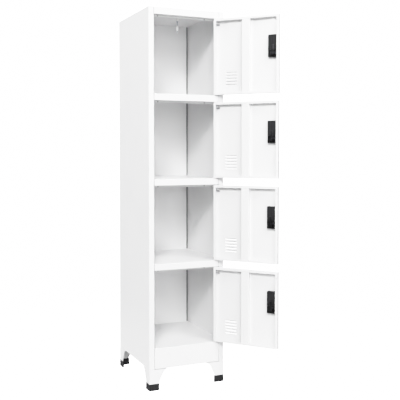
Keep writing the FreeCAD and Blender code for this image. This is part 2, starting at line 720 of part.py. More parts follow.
def lock_square(size, low, high):
    """A square bar along the lock's axis between two depths."""
    return block((HANDLE_X - size / 2, HANDLE_X + size / 2), depths(low, high),
                 (LOCK_Z - size / 2, LOCK_Z + size / 2))


def lock_plug():
    """The turning core, with its keyway and the square end that drives the cam."""
    face = -BEZEL_DEPTH - BARREL_RIM
    core = lock_rod(PLUG_RADIUS, face, BARREL_END + FIT)
    keyway = block((HANDLE_X - KEYWAY_WIDTH / 2, HANDLE_X + KEYWAY_WIDTH / 2),
                   depths(face - 1, face + KEYWAY_DEPTH),
                   (LOCK_Z - KEYWAY_HEIGHT / 2, LOCK_Z + KEYWAY_HEIGHT / 2))
    shoulder = lock_rod(PLUG_RADIUS, BARREL_END, PLUG_END)
    square = lock_square(PLUG_SQUARE, PLUG_END, PLUG_END + CAM_SHEET)
    head = lock_rod(CAM_HEAD_RADIUS, PLUG_END + CAM_SHEET, PLUG_END + 2 * CAM_SHEET)
    return core.cut(keyway).fuse([shoulder, square, head]).removeSplitter()


def lock_cam():
    """The flat latch on the plug's end, pointing up when unlocked."""
    half = CAM_WIDTH / 2
    plate = block((HANDLE_X - half, HANDLE_X + half), depths(PLUG_END, PLUG_END + CAM_SHEET),
                  (LOCK_Z - CAM_BELOW, LOCK_Z + CAM_REACH))
    edges = [edge for edge in plate.Edges if abs(edge.BoundBox.YLength - CAM_SHEET) < 0.01]
    plate = plate.makeFillet(CAM_CORNER, edges)
    return plate.cut(lock_square(PLUG_SQUARE, 0, 2 * PLUG_END))


def placed_on_door(shape, index):
    """A closed-door piece moved to its door and swung open with it."""
    placed = shape.copy()
    placed.translate(UP * (opening_bottom(index) + DOOR_GAP))
    placed.rotate(FreeCAD.Vector(PIVOT_X, PIVOT_Y, 0), UP, OPEN_ANGLES[index])
    return placed


def save(shape, name):
    """Write one node and say how many solids it holds."""
    bad = [solid for solid in shape.Solids if not solid.isValid()]
    print(name, len(shape.Solids), "invalid" if bad else "ok", round(shape.Volume))
    shape.exportStep("parts/" + name + ".step")


def main():
    os.makedirs("parts", exist_ok=True)
    left = side_panel()
    save(left, "left_side_panel")
    save(mirrored(left), "right_side_panel")
    save(back_panel(), "back_panel")
    save(top_panel(), "top_panel")
    for index in range(COMPARTMENTS - 1):
        save(shelf(index), "shelf_" + str(index + 1))
    save(bottom_panel(), "bottom_panel")
    for name, maker in (("leg", front_left_leg), ("foot_cap", front_left_cap)):
        corner = maker()
        rear = corner.mirror(FreeCAD.Vector(), INWARD)
        save(corner, name + "_front_left")
        save(mirrored(corner), name + "_front_right")
        save(rear, name + "_rear_left")
        save(mirrored(rear), name + "_rear_right")
    save(coat_hook(), "coat_hook")
    save(hook_rivets(), "hook_rivets")
    save(hinge_washers(), "hinge_washers")
    save(door_buffers(), "door_buffers")
    door_pieces = {
        "panel": door_panel(),
        "stiffener": stiffener(),
        "hinge_bracket": hinge_bracket(),
        "hinge_pins": hinge_pins(),
        "handle": handle(),
        "card_frame": card_frame(),
        "lock_barrel": lock_barrel(),
        "lock_nut": lock_nut(),
        "lock_plug": lock_plug(),
        "lock_cam": lock_cam(),
    }
    for index in range(COMPARTMENTS):
        for name, shape in door_pieces.items():
            save(placed_on_door(shape, index), "door_" + str(index + 1) + "_" + name)


main()
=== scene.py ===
import bpy
import bmesh
import json
import math
from mathutils import Matrix, Vector


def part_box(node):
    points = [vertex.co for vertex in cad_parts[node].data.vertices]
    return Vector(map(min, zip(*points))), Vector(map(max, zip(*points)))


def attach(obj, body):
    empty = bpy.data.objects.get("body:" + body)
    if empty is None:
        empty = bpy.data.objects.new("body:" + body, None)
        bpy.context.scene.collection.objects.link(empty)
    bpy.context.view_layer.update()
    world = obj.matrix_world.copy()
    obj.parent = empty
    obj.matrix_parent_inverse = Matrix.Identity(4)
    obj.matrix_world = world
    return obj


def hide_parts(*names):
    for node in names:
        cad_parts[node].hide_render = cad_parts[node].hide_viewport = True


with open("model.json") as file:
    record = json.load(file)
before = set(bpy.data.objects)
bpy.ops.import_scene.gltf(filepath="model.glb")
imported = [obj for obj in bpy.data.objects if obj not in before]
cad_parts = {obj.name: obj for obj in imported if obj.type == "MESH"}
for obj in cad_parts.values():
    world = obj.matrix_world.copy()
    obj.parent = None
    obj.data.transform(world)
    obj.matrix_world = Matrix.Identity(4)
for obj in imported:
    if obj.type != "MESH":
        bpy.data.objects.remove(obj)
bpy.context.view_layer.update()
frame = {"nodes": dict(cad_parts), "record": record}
nodes = frame["nodes"]
record = frame["record"]
slot_of = {part["node"]: part["material_slot"] for part in record["subparts"]}

scene = bpy.context.scene


# Materials

def new_material(name):
    """A material, its node tree and its Principled shader."""
    material = bpy.data.materials.new(name)
    material.use_nodes = True
    tree = material.node_tree
    shader = tree.nodes["Principled BSDF"]
    return material, tree, shader


def noise(tree, scale, detail=2.0, roughness=0.5, stretch=(1, 1, 1)):
    """A noise texture in object space."""
    place = tree.nodes.new("ShaderNodeTexCoord")
    mapping = tree.nodes.new("ShaderNodeMapping")
    mapping.inputs["Scale"].default_value = stretch
    texture = tree.nodes.new("ShaderNodeTexNoise")
    texture.inputs["Scale"].default_value = scale
    texture.inputs["Detail"].default_value = detail
    texture.inputs["Roughness"].default_value = roughness
    tree.links.new(place.outputs["Object"], mapping.inputs["Vector"])
    tree.links.new(mapping.outputs["Vector"], texture.inputs["Vector"])
    return texture.outputs["Fac"]


def ramp(tree, value, stops):
    """A colour ramp over a value, from (position, colour or number) stops."""
    node = tree.nodes.new("ShaderNodeValToRGB")
    elements = node.color_ramp.elements
    while len(elements) < len(stops):
        elements.new(0.5)
    for element, (position, colour) in zip(elements, stops):
        element.position = position
        element.color = (*colour, 1) if isinstance(colour, tuple) else (colour, colour, colour, 1)
    tree.links.new(value, node.inputs["Fac"])
    return node.outputs["Color"]


def mix_colour(tree, factor, first, second, mode="MIX"):
    """Two colours mixed by a factor that is a socket or a number."""
    node = tree.nodes.new("ShaderNodeMix")
    node.data_type = "RGBA"
    node.blend_type = mode
    for name, value in (("Factor", factor), ("A", first), ("B", second)):
        kinds = ("VALUE", "RGBA") if name == "Factor" else ("RGBA",)
        socket = [s for s in node.inputs if s.name == name and s.type in kinds][0]
        if isinstance(value, bpy.types.NodeSocket):
            tree.links.new(value, socket)
        else:
            socket.default_value = value if name == "Factor" else (*value, 1)
    return [s for s in node.outputs if s.type == "RGBA"][0]


def bump(tree, shader, layers):
    """Bump built up from (height, strength, distance) layers."""
    normal = None
    for height, strength, distance in layers:
        node = tree.nodes.new("ShaderNodeBump")
        node.inputs["Strength"].default_value = strength
        node.inputs["Distance"].default_value = distance
        tree.links.new(height, node.inputs["Height"])
        if normal is not None:
            tree.links.new(normal, node.inputs["Normal"])
        normal = node.outputs["Normal"]
    tree.links.new(normal, shader.inputs["Normal"])


def edge_mask(tree, radius):
    """White where a surface turns within a short distance, at folds and cut edges."""
    rounded = tree.nodes.new("ShaderNodeBevel")
    rounded.samples = 4
    rounded.inputs["Radius"].default_value = radius
    geometry = tree.nodes.new("ShaderNodeNewGeometry")
    alike = tree.nodes.new("ShaderNodeVectorMath")
    alike.operation = "DOT_PRODUCT"
    tree.links.new(rounded.outputs["Normal"], alike.inputs[0])
    tree.links.new(geometry.outputs["Normal"], alike.inputs[1])
    return ramp(tree, alike.outputs["Value"], [(0.75, 1.0), (0.99, 0.0)])


def within(tree, value, low, high):
    """One where a value lies between two numbers, and zero elsewhere."""
    node = tree.nodes.new("ShaderNodeMath")
    node.operation = "COMPARE"
    tree.links.new(value, node.inputs[0])
    node.inputs[1].default_value = (low + high) / 2
    node.inputs[2].default_value = (high - low) / 2
    return node.outputs["Value"]


def groove_mask(tree, across, deep):
    """White inside an upright groove on each side, between two distances out and two depths: where the
    painted shade goes.
    """
    place = tree.nodes.new("ShaderNodeTexCoord")
    split = tree.nodes.new("ShaderNodeSeparateXYZ")
    tree.links.new(place.outputs["Object"], split.inputs["Vector"])
    out = tree.nodes.new("ShaderNodeMath")
    out.operation = "ABSOLUTE"
    tree.links.new(split.outputs["X"], out.inputs[0])
    both = tree.nodes.new("ShaderNodeMath")
    both.operation = "MULTIPLY"
    tree.links.new(within(tree, out.outputs["Value"], *across), both.inputs[0])
    tree.links.new(within(tree, split.outputs["Y"], *deep), both.inputs[1])
    return both.outputs["Value"]


def powder_coat(name, colour, shade, roughness=0.38, shade_groove=None):
    """Powder paint: orange peel, faint cloudiness, thinner and darker at edges, and painted shade in a
    groove.
    """
    material, tree, shader = new_material(name)
    cloud = ramp(tree, noise(tree, 3.0, 3.0), [(0.3, shade), (0.7, colour)])
    speck = ramp(tree, noise(tree, 900.0, 1.0), [(0.28, 0.97), (0.36, 1.0)])
    paint = mix_colour(tree, 1.0, cloud, speck, "MULTIPLY")
    thin = tuple(channel * 0.9 for channel in colour)
    paint = mix_colour(tree, edge_mask(tree, 0.0006), paint, thin)
    if shade_groove:
        # painted shade: a dark colour in the groove stands for the shadow in the rear corner
        paint = mix_colour(tree, groove_mask(tree, *shade_groove), paint, GROOVE_SHADE_PAINT)
    tree.links.new(paint, shader.inputs["Base Color"])
    sheen = ramp(tree, noise(tree, 14.0, 4.0), [(0.3, roughness - 0.04), (0.7, roughness + 0.05)])
    tree.links.new(sheen, shader.inputs["Roughness"])
    bump(tree, shader, [
        (noise(tree, 420.0, 2.0, 0.4), 0.12, 0.0004),
        (noise(tree, 9.0, 2.0), 0.10, 0.0010),
    ])
    return material


def moulded_plastic(name, colour, worn, roughness=0.5, grain=1300.0, gloss_level=0.5):
    """Moulded plastic with a fine spark-eroded grain and slightly paler edges."""
    material, tree, shader = new_material(name)
    cloud = noise(tree, 40.0, 3.0)
    body = ramp(tree, cloud, [(0.3, colour), (0.7, tuple(min(1, c * 1.25 + 0.002) for c in colour))])
    shader.inputs["Specular IOR Level"].default_value = gloss_level
    tree.links.new(mix_colour(tree, edge_mask(tree, 0.0008), body, worn), shader.inputs["Base Color"])
    gloss = ramp(tree, noise(tree, 60.0, 3.0), [(0.3, roughness - 0.05), (0.7, roughness + 0.07)])
    tree.links.new(gloss, shader.inputs["Roughness"])
    bump(tree, shader, [(noise(tree, grain, 1.0), 0.25, 0.0002)])
    return material


def plated_metal(name, colour, dull, roughness=0.3):
    """Plated metal: cloudy plating, fine drawn lines and brighter rubbed edges."""
    material, tree, shader = new_material(name)
    shader.inputs["Metallic"].default_value = 1.0
    plating = ramp(tree, noise(tree, 160.0, 4.0), [(0.3, dull), (0.65, colour)])
    bright = tuple(min(1.0, channel * 1.35) for channel in colour)
    tree.links.new(mix_colour(tree, edge_mask(tree, 0.0004), plating, bright), shader.inputs["Base Color"])
    lines = noise(tree, 300.0, 3.0, 0.6, (1, 1, 9))
    tree.links.new(ramp(tree, lines, [(0.3, roughness - 0.08), (0.7, roughness + 0.12)]),
                   shader.inputs["Roughness"])
    bump(tree, shader, [(lines, 0.15, 0.0001)])
    return material


def soft_rubber(name, colour, dusty):
    """Soft rubber: matt, slightly dusty, with a fine tooth."""
    material, tree, shader = new_material(name)
    dust = ramp(tree, noise(tree, 220.0, 4.0), [(0.35, colour), (0.75, dusty)])
    tree.links.new(dust, shader.inputs["Base Color"])
    tree.links.new(ramp(tree, noise(tree, 90.0), [(0.3, 0.68), (0.7, 0.85)]), shader.inputs["Roughness"])
    bump(tree, shader, [(noise(tree, 1800.0, 2.0), 0.3, 0.0002)])
    return material


def floor_material(name, colour, bounce, reach, fade, veil):
    """Pale board that fades away with distance, with its shadows washed out by a share of white."""
    material, tree, shader = new_material(name)
    lighter = tuple(min(1.0, channel * 1.02) for channel in colour)
    board = ramp(tree, noise(tree, 2.0), [(0.3, colour), (0.7, lighter)])
    seen = tree.nodes.new("ShaderNodeLightPath")
    lit = mix_colour(tree, seen.outputs["Is Camera Ray"], bounce, board)
    tree.links.new(lit, shader.inputs["Base Color"])
    shader.inputs["Roughness"].default_value = 0.9
    shader.inputs["Specular IOR Level"].default_value = 0.1
    place = tree.nodes.new("ShaderNodeTexCoord")
    far = tree.nodes.new("ShaderNodeVectorMath")
    far.operation = "LENGTH"
    tree.links.new(place.outputs["Object"], far.inputs[0])
    share = tree.nodes.new("ShaderNodeMapRange")
    share.interpolation_type = "SMOOTHSTEP"
    share.inputs["From Min"].default_value = reach
    share.inputs["From Max"].default_value = reach + fade
    tree.links.new(far.outputs["Value"], share.inputs["Value"])
    clear = tree.nodes.new("ShaderNodeBsdfTransparent")
    blend = tree.nodes.new("ShaderNodeMixShader")
    thin = tree.nodes.new("ShaderNodeMath")
    thin.operation = "MULTIPLY"
    thin.inputs[1].default_value = veil
    tree.links.new(seen.outputs["Is Camera Ray"], thin.inputs[0])
    either = tree.nodes.new("ShaderNodeMath")
    either.operation = "MAXIMUM"
    tree.links.new(share.outputs["Result"], either.inputs[0])
    tree.links.new(thin.outputs["Value"], either.inputs[1])
    tree.links.new(either.outputs["Value"], blend.inputs["Fac"])
    tree.links.new(shader.outputs["BSDF"], blend.inputs[1])
    tree.links.new(clear.outputs["BSDF"], blend.inputs[2])
    tree.links.new(blend.outputs["Shader"], tree.nodes["Material Output"].inputs["Surface"])
    return material


WHITE_PAINT = (0.80, 0.80, 0.80)
CLOUDY_PAINT = (0.785, 0.785, 0.79)
GROOVE_SHADE_PAINT = (0.20, 0.20, 0.205)       # painted shade standing for the shadow in the rear corner grooves
# Where the painted shade lies: the rear corner grooves beside the back panel
GROOVE_WIDTH = 0.0062                   # inwards from the back panel's edge, in metres
GROOVE_TO_SIDE = 0.0014                 # outwards from that edge, past the side panel's inner face
GROOVE_LIP = 0.0004                     # behind the raised field's face
GROOVE_FLOOR = 0.0006                   # in front of the back panel's rear face
back_low, back_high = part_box("back_panel")
groove_across = (back_high.x - GROOVE_WIDTH, back_high.x + GROOVE_TO_SIDE)
groove_deep = (back_low.y + GROOVE_LIP, back_high.y - GROOVE_FLOOR)

# The grooved coat paints shade into the rear corner grooves
finishes = {
    "groove_shaded_coat": powder_coat("groove_shaded_coat", WHITE_PAINT, CLOUDY_PAINT,
                                shade_groove=(groove_across, groove_deep)),
    "white_powder_coat": powder_coat("white_powder_coat", WHITE_PAINT, CLOUDY_PAINT),
    "hook_white": powder_coat("hook_white", (0.95, 0.95, 0.95), (0.93, 0.93, 0.935), 0.16),
    "black_plastic": moulded_plastic("black_plastic", (0.010, 0.010, 0.011), (0.03, 0.03, 0.032),
                                     gloss_level=0.25),
    "zinc_plate": plated_metal("zinc_plate", (0.62, 0.63, 0.65), (0.45, 0.46, 0.48)),
    "lock_metal": plated_metal("lock_metal", (0.06, 0.06, 0.064), (0.03, 0.03, 0.033), 0.32),
    "nylon": moulded_plastic("nylon", (0.78, 0.76, 0.70), (0.85, 0.84, 0.8), 0.4, 900.0),
    "buffer_rubber": soft_rubber("buffer_rubber", (0.5, 0.5, 0.5), (0.6, 0.6, 0.6)),
}

for node, obj in nodes.items():
    obj.data.materials.clear()
    obj.data.materials.append(finishes[slot_of[node]])
# These panels get the coat with painted shade in their rear corner grooves
for node in ("back_panel", "left_side_panel", "right_side_panel"):
    nodes[node].data.materials[0] = finishes["groove_shaded_coat"]


# Detailed pieces, drawn in millimetres

MM = 0.001


def skin(form, first, second):
    """Faces between two rings of vertices; a ring of one vertex is a pole."""
    count = max(len(first), len(second))
    for step in range(count):
        following = (step + 1) % count
        corners = []
        for vertex in (first[step % len(first)], first[following % len(first)],
                       second[following % len(second)], second[step % len(second)]):
            if vertex not in corners:
                corners.append(vertex)
        form.faces.new(corners)


def turned(profile, place=Matrix(), steps=40, hollow=False):
    """A turned shape about Z, from (radius, height) points; hollow joins the last to the first."""
    form = bmesh.new()
    rings = []
    for radius, height in profile:
        count = steps if radius > 0 else 1
        rings.append([
            form.verts.new(place @ Vector((radius * math.cos(turn), radius * math.sin(turn), height)))
            for turn in (2 * math.pi * step / count for step in range(count))
        ])
    if hollow:
        rings.append(rings[0])
    for first, second in zip(rings, rings[1:]):
        skin(form, first, second)
    return form


def rounded_outline(low, high, radius, steps=6):
    """The outline of a rectangle with rounded corners, between two corner points."""
    outline = []
    centres = [(high[0] - radius, high[1] - radius), (low[0] + radius, high[1] - radius),
               (low[0] + radius, low[1] + radius), (high[0] - radius, low[1] + radius)]
    for quarter, centre in enumerate(centres):
        for step in range(steps + 1):
            turn = math.pi / 2 * (quarter + step / steps)
            outline.append((centre[0] + radius * math.cos(turn), centre[1] + radius * math.sin(turn)))
    return outline


def capped(rings):
    """A closed form between two rings of points."""
    form = bmesh.new()
    first, second = [[form.verts.new(point) for point in ring] for ring in rings]
    skin(form, first, second)
    form.faces.new(first)
    form.faces.new(list(reversed(second)))
    return form


def slab(outline, low, high):
    """A prism along Y from an outline of (x, z) points."""
    return capped([[(x, y, z) for x, z in outline] for y in (low, high)])


def upright(outline, low, high):
    """A prism along Z from an outline of (x, y) points."""
    return capped([[(x, y, z) for x, y in outline] for z in (low, high)])


def hexagon(reach):
    """The outline of a hexagon about the lock's axis, from its corners' distance."""
    turns = [math.pi / 3 * corner for corner in range(6)]
    return [(HANDLE_X + reach * math.cos(turn), LOCK_Z + reach * math.sin(turn)) for turn in turns]


def dome(radius, level, rise, steps=5):
    """The profile of a dome that rises from a level to a pole on the axis."""
    turns = [math.pi / 2 * step / steps for step in range(1, steps + 1)]
    rim = [(radius * math.cos(turn), level + rise * math.sin(turn)) for turn in turns]
    return rim[:-1] + [(0, rim[-1][1])]


def box_form(low, high):
    """A plain box, for cutting and joining."""
    return slab([(low[0], low[2]), (high[0], low[2]), (high[0], high[2]), (low[0], high[2])],
                low[1], high[1])


def soften(form, width, segments=2, sharper_than=35.0, only=None):
    """Round the sharp edges of a form."""
    bmesh.ops.recalc_face_normals(form, faces=form.faces)
    edges = [edge for edge in form.edges
             if len(edge.link_faces) == 2 and edge.calc_face_angle() > math.radians(sharper_than)
             and (only is None or only(edge))]
    bmesh.ops.bevel(form, geom=edges, offset=width, segments=segments, profile=0.5,
                    affect="EDGES", clamp_overlap=True)
    return form


def shaped(base, tools):
    """A form with others cut from it or joined to it, from (form, operation) pairs."""
    holders = []
    for form in [base] + [tool for tool, operation in tools]:
        bmesh.ops.recalc_face_normals(form, faces=form.faces)
        mesh = bpy.data.meshes.new("tool")
        form.to_mesh(mesh)
        form.free()
        holder = bpy.data.objects.new("tool", mesh)
        scene.collection.objects.link(holder)
        holders.append(holder)
    for holder, (tool, operation) in zip(holders[1:], tools):
        modifier = holders[0].modifiers.new("shape", "BOOLEAN")
        modifier.object = holder
        modifier.operation = operation
        modifier.solver = "EXACT"
    graph = bpy.context.evaluated_depsgraph_get()
    result = bpy.data.meshes.new_from_object(holders[0].evaluated_get(graph))
    form = bmesh.new()
    form.from_mesh(result)
    bmesh.ops.remove_doubles(form, verts=form.verts, dist=0.001)
    bmesh.ops.dissolve_limit(form, angle_limit=math.radians(0.5), verts=form.verts, edges=form.edges)
    bpy.data.meshes.remove(result)
    for holder in holders:
        mesh = holder.data
        bpy.data.objects.remove(holder)
        bpy.data.meshes.remove(mesh)
    return form


def swept(path, radius, steps=20):
    """A round rod along a path of points, with chamfered ends."""
    chamfer = 0.2 * radius
    form = bmesh.new()
    path = [Vector(point) for point in path]
    side = (path[1] - path[0]).orthogonal().normalized()
    rings = []
    for index, point in enumerate(path):
        before = (point - path[index - 1]).normalized() if index else None
        after = (path[index + 1] - point).normalized() if index + 1 < len(path) else None
        along = ((before or after) + (after or before)).normalized()
        side = (side - along * side.dot(along)).normalized()
        across = along.cross(side)
        ring_radii = [radius]
        if before is None:
            ring_radii = [radius - chamfer, radius]
        if after is None:
            ring_radii = [radius, radius - chamfer]
        for number, ring_radius in enumerate(ring_radii):
            shift = 0.0
            if before is None and number == 1:
                shift = chamfer
            if after is None and number == 0:
                shift = -chamfer
            rings.append([
                form.verts.new(point + along * shift + (side * math.cos(turn) + across * math.sin(turn))
                               * ring_radius)
                for turn in (2 * math.pi * step / steps for step in range(steps))
            ])
    for first, second in zip(rings, rings[1:]):
        skin(form, first, second)
    form.faces.new(rings[0])
    form.faces.new(list(reversed(rings[-1])))
    return form


def arc(centre, start, end, steps=10):
    """Points on a quarter or half turn from one radius vector towards another."""
    centre, start, end = Vector(centre), Vector(start), Vector(end)
    sweep = start.angle(end)
    return [centre + (start * math.sin((1 - part) * sweep) + end * math.sin(part * sweep))
            / math.sin(sweep) for part in (step / steps for step in range(steps + 1))]


def joined(forms):
    """Several forms as one, each left a closed shell of its own."""
    result = bmesh.new()
    for form in forms:
        mesh = bpy.data.meshes.new("shell")
        form.to_mesh(mesh)
        form.free()
        result.from_mesh(mesh)
        bpy.data.meshes.remove(mesh)
    return result


def piece(form, name, body, replaced, place=Matrix(), slot=None):
    """A form in millimetres turned into an object, which may stand for a CAD node."""
    slot = slot or slot_of[replaced]
    form.transform(place @ Matrix.Scale(MM, 4))
    bmesh.ops.recalc_face_normals(form, faces=form.faces)
    mesh = bpy.data.meshes.new(name)
    form.to_mesh(mesh)
    form.free()
    for polygon in mesh.polygons:
        polygon.use_smooth = True
    mesh.set_sharp_from_angle(angle=math.radians(32))
    mesh.materials.append(finishes[slot])
    made = bpy.data.objects.new(name, mesh)
    scene.collection.objects.link(made)
    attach(made, body)
    if replaced:
        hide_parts(replaced)


# Places read from the CAD, in metres

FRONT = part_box("left_side_panel")[0].y
hook_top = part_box("coat_hook")[1].z
rivet_low, rivet_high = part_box("hook_rivets")
hinges = {joint["child"]: joint for joint in record["behaviour"]["joints"]
          if joint["child"].startswith("door")}


# Sizes shared with the CAD, in millimetres

FRONT_MM = FRONT / MM
DOOR_GAP = 2.0
RAIL = 31.0
HOOK_BEND_LEVEL = 1718.0
HOOK_BEND = 10.0
HOOK_WIRE = 3.0         # radius
HOOK_TIP = 7.5          # radius
HOOK_TIP_HALF = 12.0    # half of its height
HOOK_TURN = math.radians(24)
HOOK_PLATE = 1.5        # thickness
RIVET_HEAD = 4.0        # radius
DOOR_HEIGHT = 364.5
HANDLE_X = -132.5
HANDLE_LOW = 166.5
HANDLE_HIGH = 270.5
HANDLE_HALF = 21.0
HANDLE_DEEP = 17.0
LOCK_Z = 184.5
CARD_X = 80.5
CARD_Z = 284.5
CARD_HALF_WIDE = 31.0
CARD_HALF_TALL = 16.0
PIN = 2.5               # radius


def door_place(number):
    """From a closed door's own frame, with its front lower edge at zero, to the open door."""
    hinge = hinges["door_" + str(number)]
    pivot = Vector((hinge["pos_m"][0], hinge["pos_m"][1], 0.0))
    opened = Matrix.Rotation(math.radians(-hinge["range_deg"][0]), 4, "Z")
    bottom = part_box("door_" + str(number) + "_panel")[0].z
    closed = Matrix.Translation(Vector((0, FRONT, bottom)))
    return Matrix.Translation(pivot) @ opened @ Matrix.Translation(-pivot) @ closed


def lock_axis(depth=0.0):
    """A place whose Z axis runs inwards along the lock."""
    return Matrix.Translation((HANDLE_X, depth, LOCK_Z)) @ Matrix.Rotation(-math.pi / 2, 4, "X")


PIN_X = hinges["door_1"]["pos_m"][0] / MM
PIN_Y = (hinges["door_1"]["pos_m"][1] - FRONT) / MM


def handle_form():
    """The handle's moulding: bezel, finger cup, lock pocket, ribs and snap lugs."""
    wall = 1.8
    rim_out = 3.0           # how far the bezel stands beyond the body
    cup_tall = 60.0
    bore = 9.62             # radius of the lock's hole
    bezel = slab(rounded_outline((HANDLE_X - HANDLE_HALF - rim_out, HANDLE_LOW - rim_out),
                                 (HANDLE_X + HANDLE_HALF + rim_out, HANDLE_HIGH + rim_out), 6.0),
                 -1.8, -0.02)
    soften(bezel, 0.9, 3, only=lambda edge: all(v.co.y < -1 for v in edge.verts))
    body = slab(rounded_outline((HANDLE_X - HANDLE_HALF, HANDLE_LOW),
                                (HANDLE_X + HANDLE_HALF, HANDLE_HIGH), 3.0), -0.9, HANDLE_DEEP)
    soften(body, 0.8, 2, only=lambda edge: all(v.co.y > 10 for v in edge.verts))
    inner = (HANDLE_X - HANDLE_HALF + wall, HANDLE_X + HANDLE_HALF - wall)
    cup_low = HANDLE_HIGH - wall - cup_tall
    cup_high = HANDLE_HIGH - wall
    cup = slab(rounded_outline((inner[0], cup_low), (inner[1], cup_high), 3.0), 1.2, HANDLE_DEEP - wall)
    soften(cup, 2.0, 3, only=lambda edge: all(v.co.y > 10 for v in edge.verts))
    mouth = slab(rounded_outline((inner[0] + 11, cup_low), (inner[1], cup_high), 3.0), -4, 3)
    pocket = slab(rounded_outline((inner[0], HANDLE_LOW + wall), (inner[1], HANDLE_LOW + 35), 1.5),
                  3.0, HANDLE_DEEP + 1)
    hole = turned([(0, -6), (bore, -6), (bore, 8), (0, 8)], lock_axis())
    tools = [(body, "UNION"), (cup, "DIFFERENCE"), (mouth, "DIFFERENCE"), (pocket, "DIFFERENCE"),
             (hole, "DIFFERENCE")]
    panels = 3
    rim = 2.0
    rib = 1.2
    wide = (2 * HANDLE_HALF - 2 * rim - (panels - 1) * rib) / panels
    for number in range(panels):
        left = HANDLE_X - HANDLE_HALF + rim + number * (wide + rib)
        relief = box_form((left, HANDLE_DEEP - 0.7, HANDLE_LOW + 39),
                          (left + wide, HANDLE_DEEP + 1, HANDLE_HIGH - 3))
        tools.append((relief, "DIFFERENCE"))
    for side in (-1, 1):
        for level in (HANDLE_LOW + 14, HANDLE_LOW + 52, HANDLE_LOW + 90):
            root = HANDLE_X + side * (HANDLE_HALF - 0.3)
            tip = HANDLE_X + side * (HANDLE_HALF + 0.9)
            lug = upright([(root, 1.1), (tip, 1.1), (root, 5.5)], level - 4, level + 4)
            tools.append((lug, "UNION"))
    return soften(shaped(bezel, tools), 0.25, 2, 40.0)


def barrel_form():
    """The lock's body: a rimmed tube with a fine thread."""
    crest, root, pitch = 9.5, 9.05, 1.0
    profile = [(6.1, 17.7), (6.1, -2.3), (6.4, -2.6), (10.4, -2.6), (10.9, -2.2), (10.9, -1.85),
               (crest, -1.85)]
    depth = 2.4
    while depth < 16.6:
        profile += [(crest, depth), (root, depth + pitch / 2)]
        depth += pitch
    profile += [(crest, 17.2), (9.2, 17.9), (6.4, 17.9)]
    return turned(profile, lock_axis(), 48, True)


def nut_form():
    """The hexagonal nut behind the handle's skin, with turned corners."""
    across_flats = 22
    body = slab(hexagon(across_flats / math.sqrt(3)), 3.02, 7.0)
    soften(body, 0.5, 2, 30.0)
    hole = turned([(0, -2), (9.56, -2), (9.56, 10), (0, 10)], lock_axis())
    washer_face = turned([(9.6, 6.9), (10.9, 6.9), (10.6, 7.3), (9.8, 7.3)], lock_axis(), 40, True)
    return joined([shaped(body, [(hole, "DIFFERENCE")]), washer_face])


def plug_form():
    """The turning core with its keyway, and the square and bolt that hold the cam."""
    core = turned([(0, -2.6), (5.6, -2.6), (6.0, -2.3), (6.0, 18.2), (6.0, 20.3), (5.7, 20.6), (0, 20.6)],
                  lock_axis(), 48)
    keyway = box_form((HANDLE_X - 1.1, -4, LOCK_Z - 4), (HANDLE_X + 1.1, 3.4, LOCK_Z + 4))
    ward = box_form((HANDLE_X, -4, LOCK_Z - 1), (HANDLE_X + 2.0, 3.4, LOCK_Z + 0.6))
    core = shaped(core, [(keyway, "DIFFERENCE"), (ward, "DIFFERENCE")])
    square = soften(box_form((HANDLE_X - 3.5, 20.5, LOCK_Z - 3.5), (HANDLE_X + 3.5, 22.3, LOCK_Z + 3.5)), 0.3)
    bolt = soften(slab(hexagon(4.9), 22.25, 23.8), 0.3, 2, 30.0)
    return joined([core, square, bolt])


def cam_form():
    """The flat latch, rounded at its ends, with its square hole."""
    low = (HANDLE_X - 7, LOCK_Z - 9)
    high = (HANDLE_X + 7, LOCK_Z + 41)
    plate = slab(rounded_outline(low, high, 4.2), 20.62, 22.2)
    hole = box_form((HANDLE_X - 3.6, 18, LOCK_Z - 3.6), (HANDLE_X + 3.6, 25, LOCK_Z + 3.6))
    return soften(shaped(plate, [(hole, "DIFFERENCE")]), 0.3, 2, 40.0)


def pins_form():
    """The bent upper pin and the headed lower pin."""
    top = DOOR_HEIGHT + 7
    knee = DOOR_HEIGHT - 30
    bend = 4.0
    upper = [(PIN_X, PIN_Y, top), (PIN_X, PIN_Y, knee + bend)]
    upper += arc((PIN_X - bend, PIN_Y, knee + bend), (bend, 0, 0), (0, 0, -bend))[1:]
    upper.append((PIN_X - 18, PIN_Y, knee))
    place = Matrix.Translation((PIN_X, PIN_Y, 0))
    lower = turned([(0, -7), (2.0, -7), (PIN, -6.5), (PIN, 0.85), (3.4, 0.85), (3.6, 1.1), (3.6, 2.6),
                    (3.0, 3.2), (0, 3.2)], place, 32)
    return joined([swept(upper, PIN), lower])


def card_frame_form():
    """The card frame: a bevelled border with a thumb notch, held by four bent tabs."""
    low = (CARD_X - CARD_HALF_WIDE, CARD_Z - CARD_HALF_TALL)
    high = (CARD_X + CARD_HALF_WIDE, CARD_Z + CARD_HALF_TALL)
    plate = slab(rounded_outline(low, high, 2.0, 4), -1.4, 0)
    soften(plate, 0.5, 2, only=lambda edge: all(v.co.y < -1 for v in edge.verts))
    window = slab(rounded_outline((low[0] + 4, low[1] + 4), (high[0] - 4, high[1] - 4), 1.0, 4), -4, 2)
    notch = turned([(0, -4), (5, -4), (5, -0.7), (0, -0.7)],
                   Matrix.Translation((high[0], 0, CARD_Z)) @ Matrix.Rotation(-math.pi / 2, 4, "X"))
    slot = box_form((low[0] + 2, -0.7, low[1] + 2), (high[0] + 1, -0.05, high[1] - 2))
    frame_form = soften(shaped(plate, [(window, "DIFFERENCE"), (slot, "DIFFERENCE"),
                                       (notch, "DIFFERENCE")]), 0.12, 2, 40.0)
    tabs = []
    for x in (CARD_X - 22, CARD_X + 22):
        for z in (CARD_Z - 14, CARD_Z + 14):
            tab = box_form((x - 2, -0.3, z - 0.35), (x + 2, 1.5, z + 0.35))
            fold = box_form((x - 2, 0.82, z - 0.35), (x + 2, 1.5, z + 2.4))
            tabs.append(soften(shaped(tab, [(fold, "UNION")]), 0.12, 2, 40.0))
    return joined([frame_form] + tabs)


